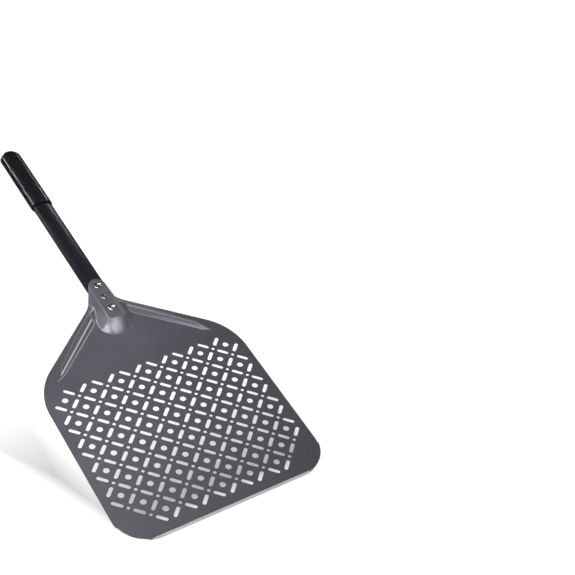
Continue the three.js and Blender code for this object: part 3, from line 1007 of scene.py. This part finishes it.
def floor_material():
    """A table that glows pale for the camera, with a painted shadow under and beside the blade's front
    where the glow is turned down, and dark for the light it throws back."""
    s = Shader("pale_floor")
    place = s.add("ShaderNodeSeparateXYZ", {"Vector": s.place})
    across = s.maths("DIVIDE", place.outputs["X"], MM)
    back = s.maths("SUBTRACT", s.maths("DIVIDE", place.outputs["Y"], MM), FRONT)
    # Where the floor glows: lit is 0 in the painted shadow and 1 outside it.
    ahead = s.span(back, SHADE_AHEAD, SHADE_AHEAD + SHADE_FADE, 1.0, 0.0)
    lag = s.span(across, -HALF_WIDTH - LAG_OUTSIDE, -HALF_WIDTH + LAG_INSIDE, SHADE_LAG, 0.0)
    behind = s.span(s.maths("SUBTRACT", back, lag), SHADE_DEEP, SHADE_END, 0.0, 1.0)
    skewed = s.maths("MULTIPLY_ADD", back, SHADE_SKEW, across)
    left = s.span(skewed, -SHADE_LEFT - SHADE_FADE, -SHADE_LEFT, 1.0, 0.0)
    right = s.span(across, SHADE_RIGHT, SHADE_RIGHT + SHADE_FADE, 0.0, 1.0)
    lit = s.maths("MAXIMUM", s.maths("MAXIMUM", left, right), s.maths("MAXIMUM", behind, ahead))
    seen = s.add("ShaderNodeLightPath").outputs["Is Camera Ray"]
    mottle = s.noise(s.place, 3.0, 2.0)
    pale = s.mix(mottle, colour(0.115, 0.115, 0.117), colour(0.125, 0.125, 0.127))
    return s.finish(
        Base_Color=s.mix(seen, colour(0.12, 0.12, 0.12), pale),
        Roughness=0.9,
        Specular_IOR_Level=0.0,
        Emission_Color=colour(1, 1, 1),
        Emission_Strength=s.maths("MULTIPLY", s.span(lit, 0.0, 1.0, SHADE_GLOW, 1.0), seen),
    )


def add_floor():
    """A wide flat table, a little below the peel."""
    half = FLOOR_HALF * MM
    z = cad_box[0].z - FLOOR_GAP * MM
    mesh = bpy.data.meshes.new("floor")
    corners = [(-half, -half, z), (half, -half, z), (half, half, z), (-half, half, z)]
    mesh.from_pydata(corners, [], [(0, 1, 2, 3)])
    mesh.materials.append(floor_material())
    floor = bpy.data.objects.new("floor", mesh)
    bpy.context.scene.collection.objects.link(floor)


def add_world():
    """Pale where the camera looks past the floor, but a dim room for the light it gives."""
    world = bpy.data.worlds.new("studio")
    world.use_nodes = True
    tree = world.node_tree
    path = tree.nodes.new("ShaderNodeLightPath")
    strength = tree.nodes.new("ShaderNodeMix")
    strength.inputs[2].default_value = ROOM_LIGHT
    strength.inputs[3].default_value = 1.0
    tree.links.new(path.outputs["Is Camera Ray"], strength.inputs[0])
    tree.links.new(strength.outputs[0], tree.nodes["Background"].inputs["Strength"])
    tree.nodes["Background"].inputs["Color"].default_value = colour(1, 1, 1)
    bpy.context.scene.world = world


def direction(azimuth, elevation):
    """A unit vector towards a compass angle (0 is the front, 90 is +X) and a height angle."""
    a, e = math.radians(azimuth), math.radians(elevation)
    return Vector((math.sin(a) * math.cos(e), -math.cos(a) * math.cos(e), math.sin(e)))


def add_area(name, azimuth, elevation, distance, side, power, target, spread=180):
    """A square light, in metres and watts, that faces the target and isn't itself seen. spread
    narrows its beam."""
    lamp = bpy.data.lights.new(name, "AREA")
    lamp.size = side
    lamp.energy = power
    lamp.spread = math.radians(spread)
    light = bpy.data.objects.new(name, lamp)
    away = direction(azimuth, elevation)
    light.location = target + away * distance
    light.rotation_mode = "QUATERNION"
    light.rotation_quaternion = away.to_track_quat("Z", "Y")
    light.visible_camera = False
    bpy.context.scene.collection.objects.link(light)


def on_peel(x, from_front, z):
    """A place on the peel, in metres."""
    return Vector((x, FRONT + from_front, z)) * MM


def add_lights():
    """Two wide lights, and narrow ones that draw the light lines on the handle, neck and bevel."""
    middle = on_peel(0, 277.4, 0)
    left_margin = on_peel(-150, 127.4, 0)
    ramp = on_peel(0, 327.4, 10)
    neck = on_peel(0, 382.4, 20)
    handle = on_peel(0, 607.4, 10)
    front_edge = on_peel(0, 0, 0)
    add_area("key", -24, 50, 2.2, 0.9, 30, middle)
    add_area("overhead", 0, 88, 2.6, 2.2, 2.2, middle)
    add_area("near_left", -74, 44, 0.78, 0.4, 1.4, left_margin, 40)
    add_area("left_rear", -138, 26, 2.0, 0.35, 0.5, handle, 8)
    add_area("right_rear", 134, 23, 2.0, 0.35, 0.22, handle, 8)
    add_area("neck_left", -120, 32, 1.2, 0.4, 0.4, neck, 100)
    add_area("neck_right", 92, 11, 2.0, 0.4, 0.035, neck, 8)
    add_area("ramp", 0, 50, 1.5, 0.08, 0.015, ramp, 3.5)
    add_area("bevel", 95, 61, 1.5, 0.5, 0.03, front_edge, 14)


def add_camera():
    """The camera, at the reference view's angle, distance and roll."""
    away = direction(CAMERA_AZIMUTH, CAMERA_ELEVATION)
    level_right = Vector((0, 0, 1)).cross(away).normalized()
    level_up = away.cross(level_right)
    right = level_right * math.cos(CAMERA_ROLL) + level_up * math.sin(CAMERA_ROLL)
    up = away.cross(right)
    place = (Vector(CAMERA_TARGET) + away * CAMERA_DISTANCE) * MM
    data = bpy.data.cameras.new("camera")
    data.lens = CAMERA_LENS
    data.clip_end = 100
    camera = bpy.data.objects.new("camera", data)
    camera.matrix_world = Matrix([
        (right.x, up.x, away.x, place.x),
        (right.y, up.y, away.y, place.y),
        (right.z, up.z, away.z, place.z),
        (0, 0, 0, 1),
    ])
    bpy.context.scene.collection.objects.link(camera)
    bpy.context.scene.camera = camera


build_peel()
add_floor()
add_world()
add_lights()
add_camera()
bpy.context.scene.view_settings.view_transform = "Standard"
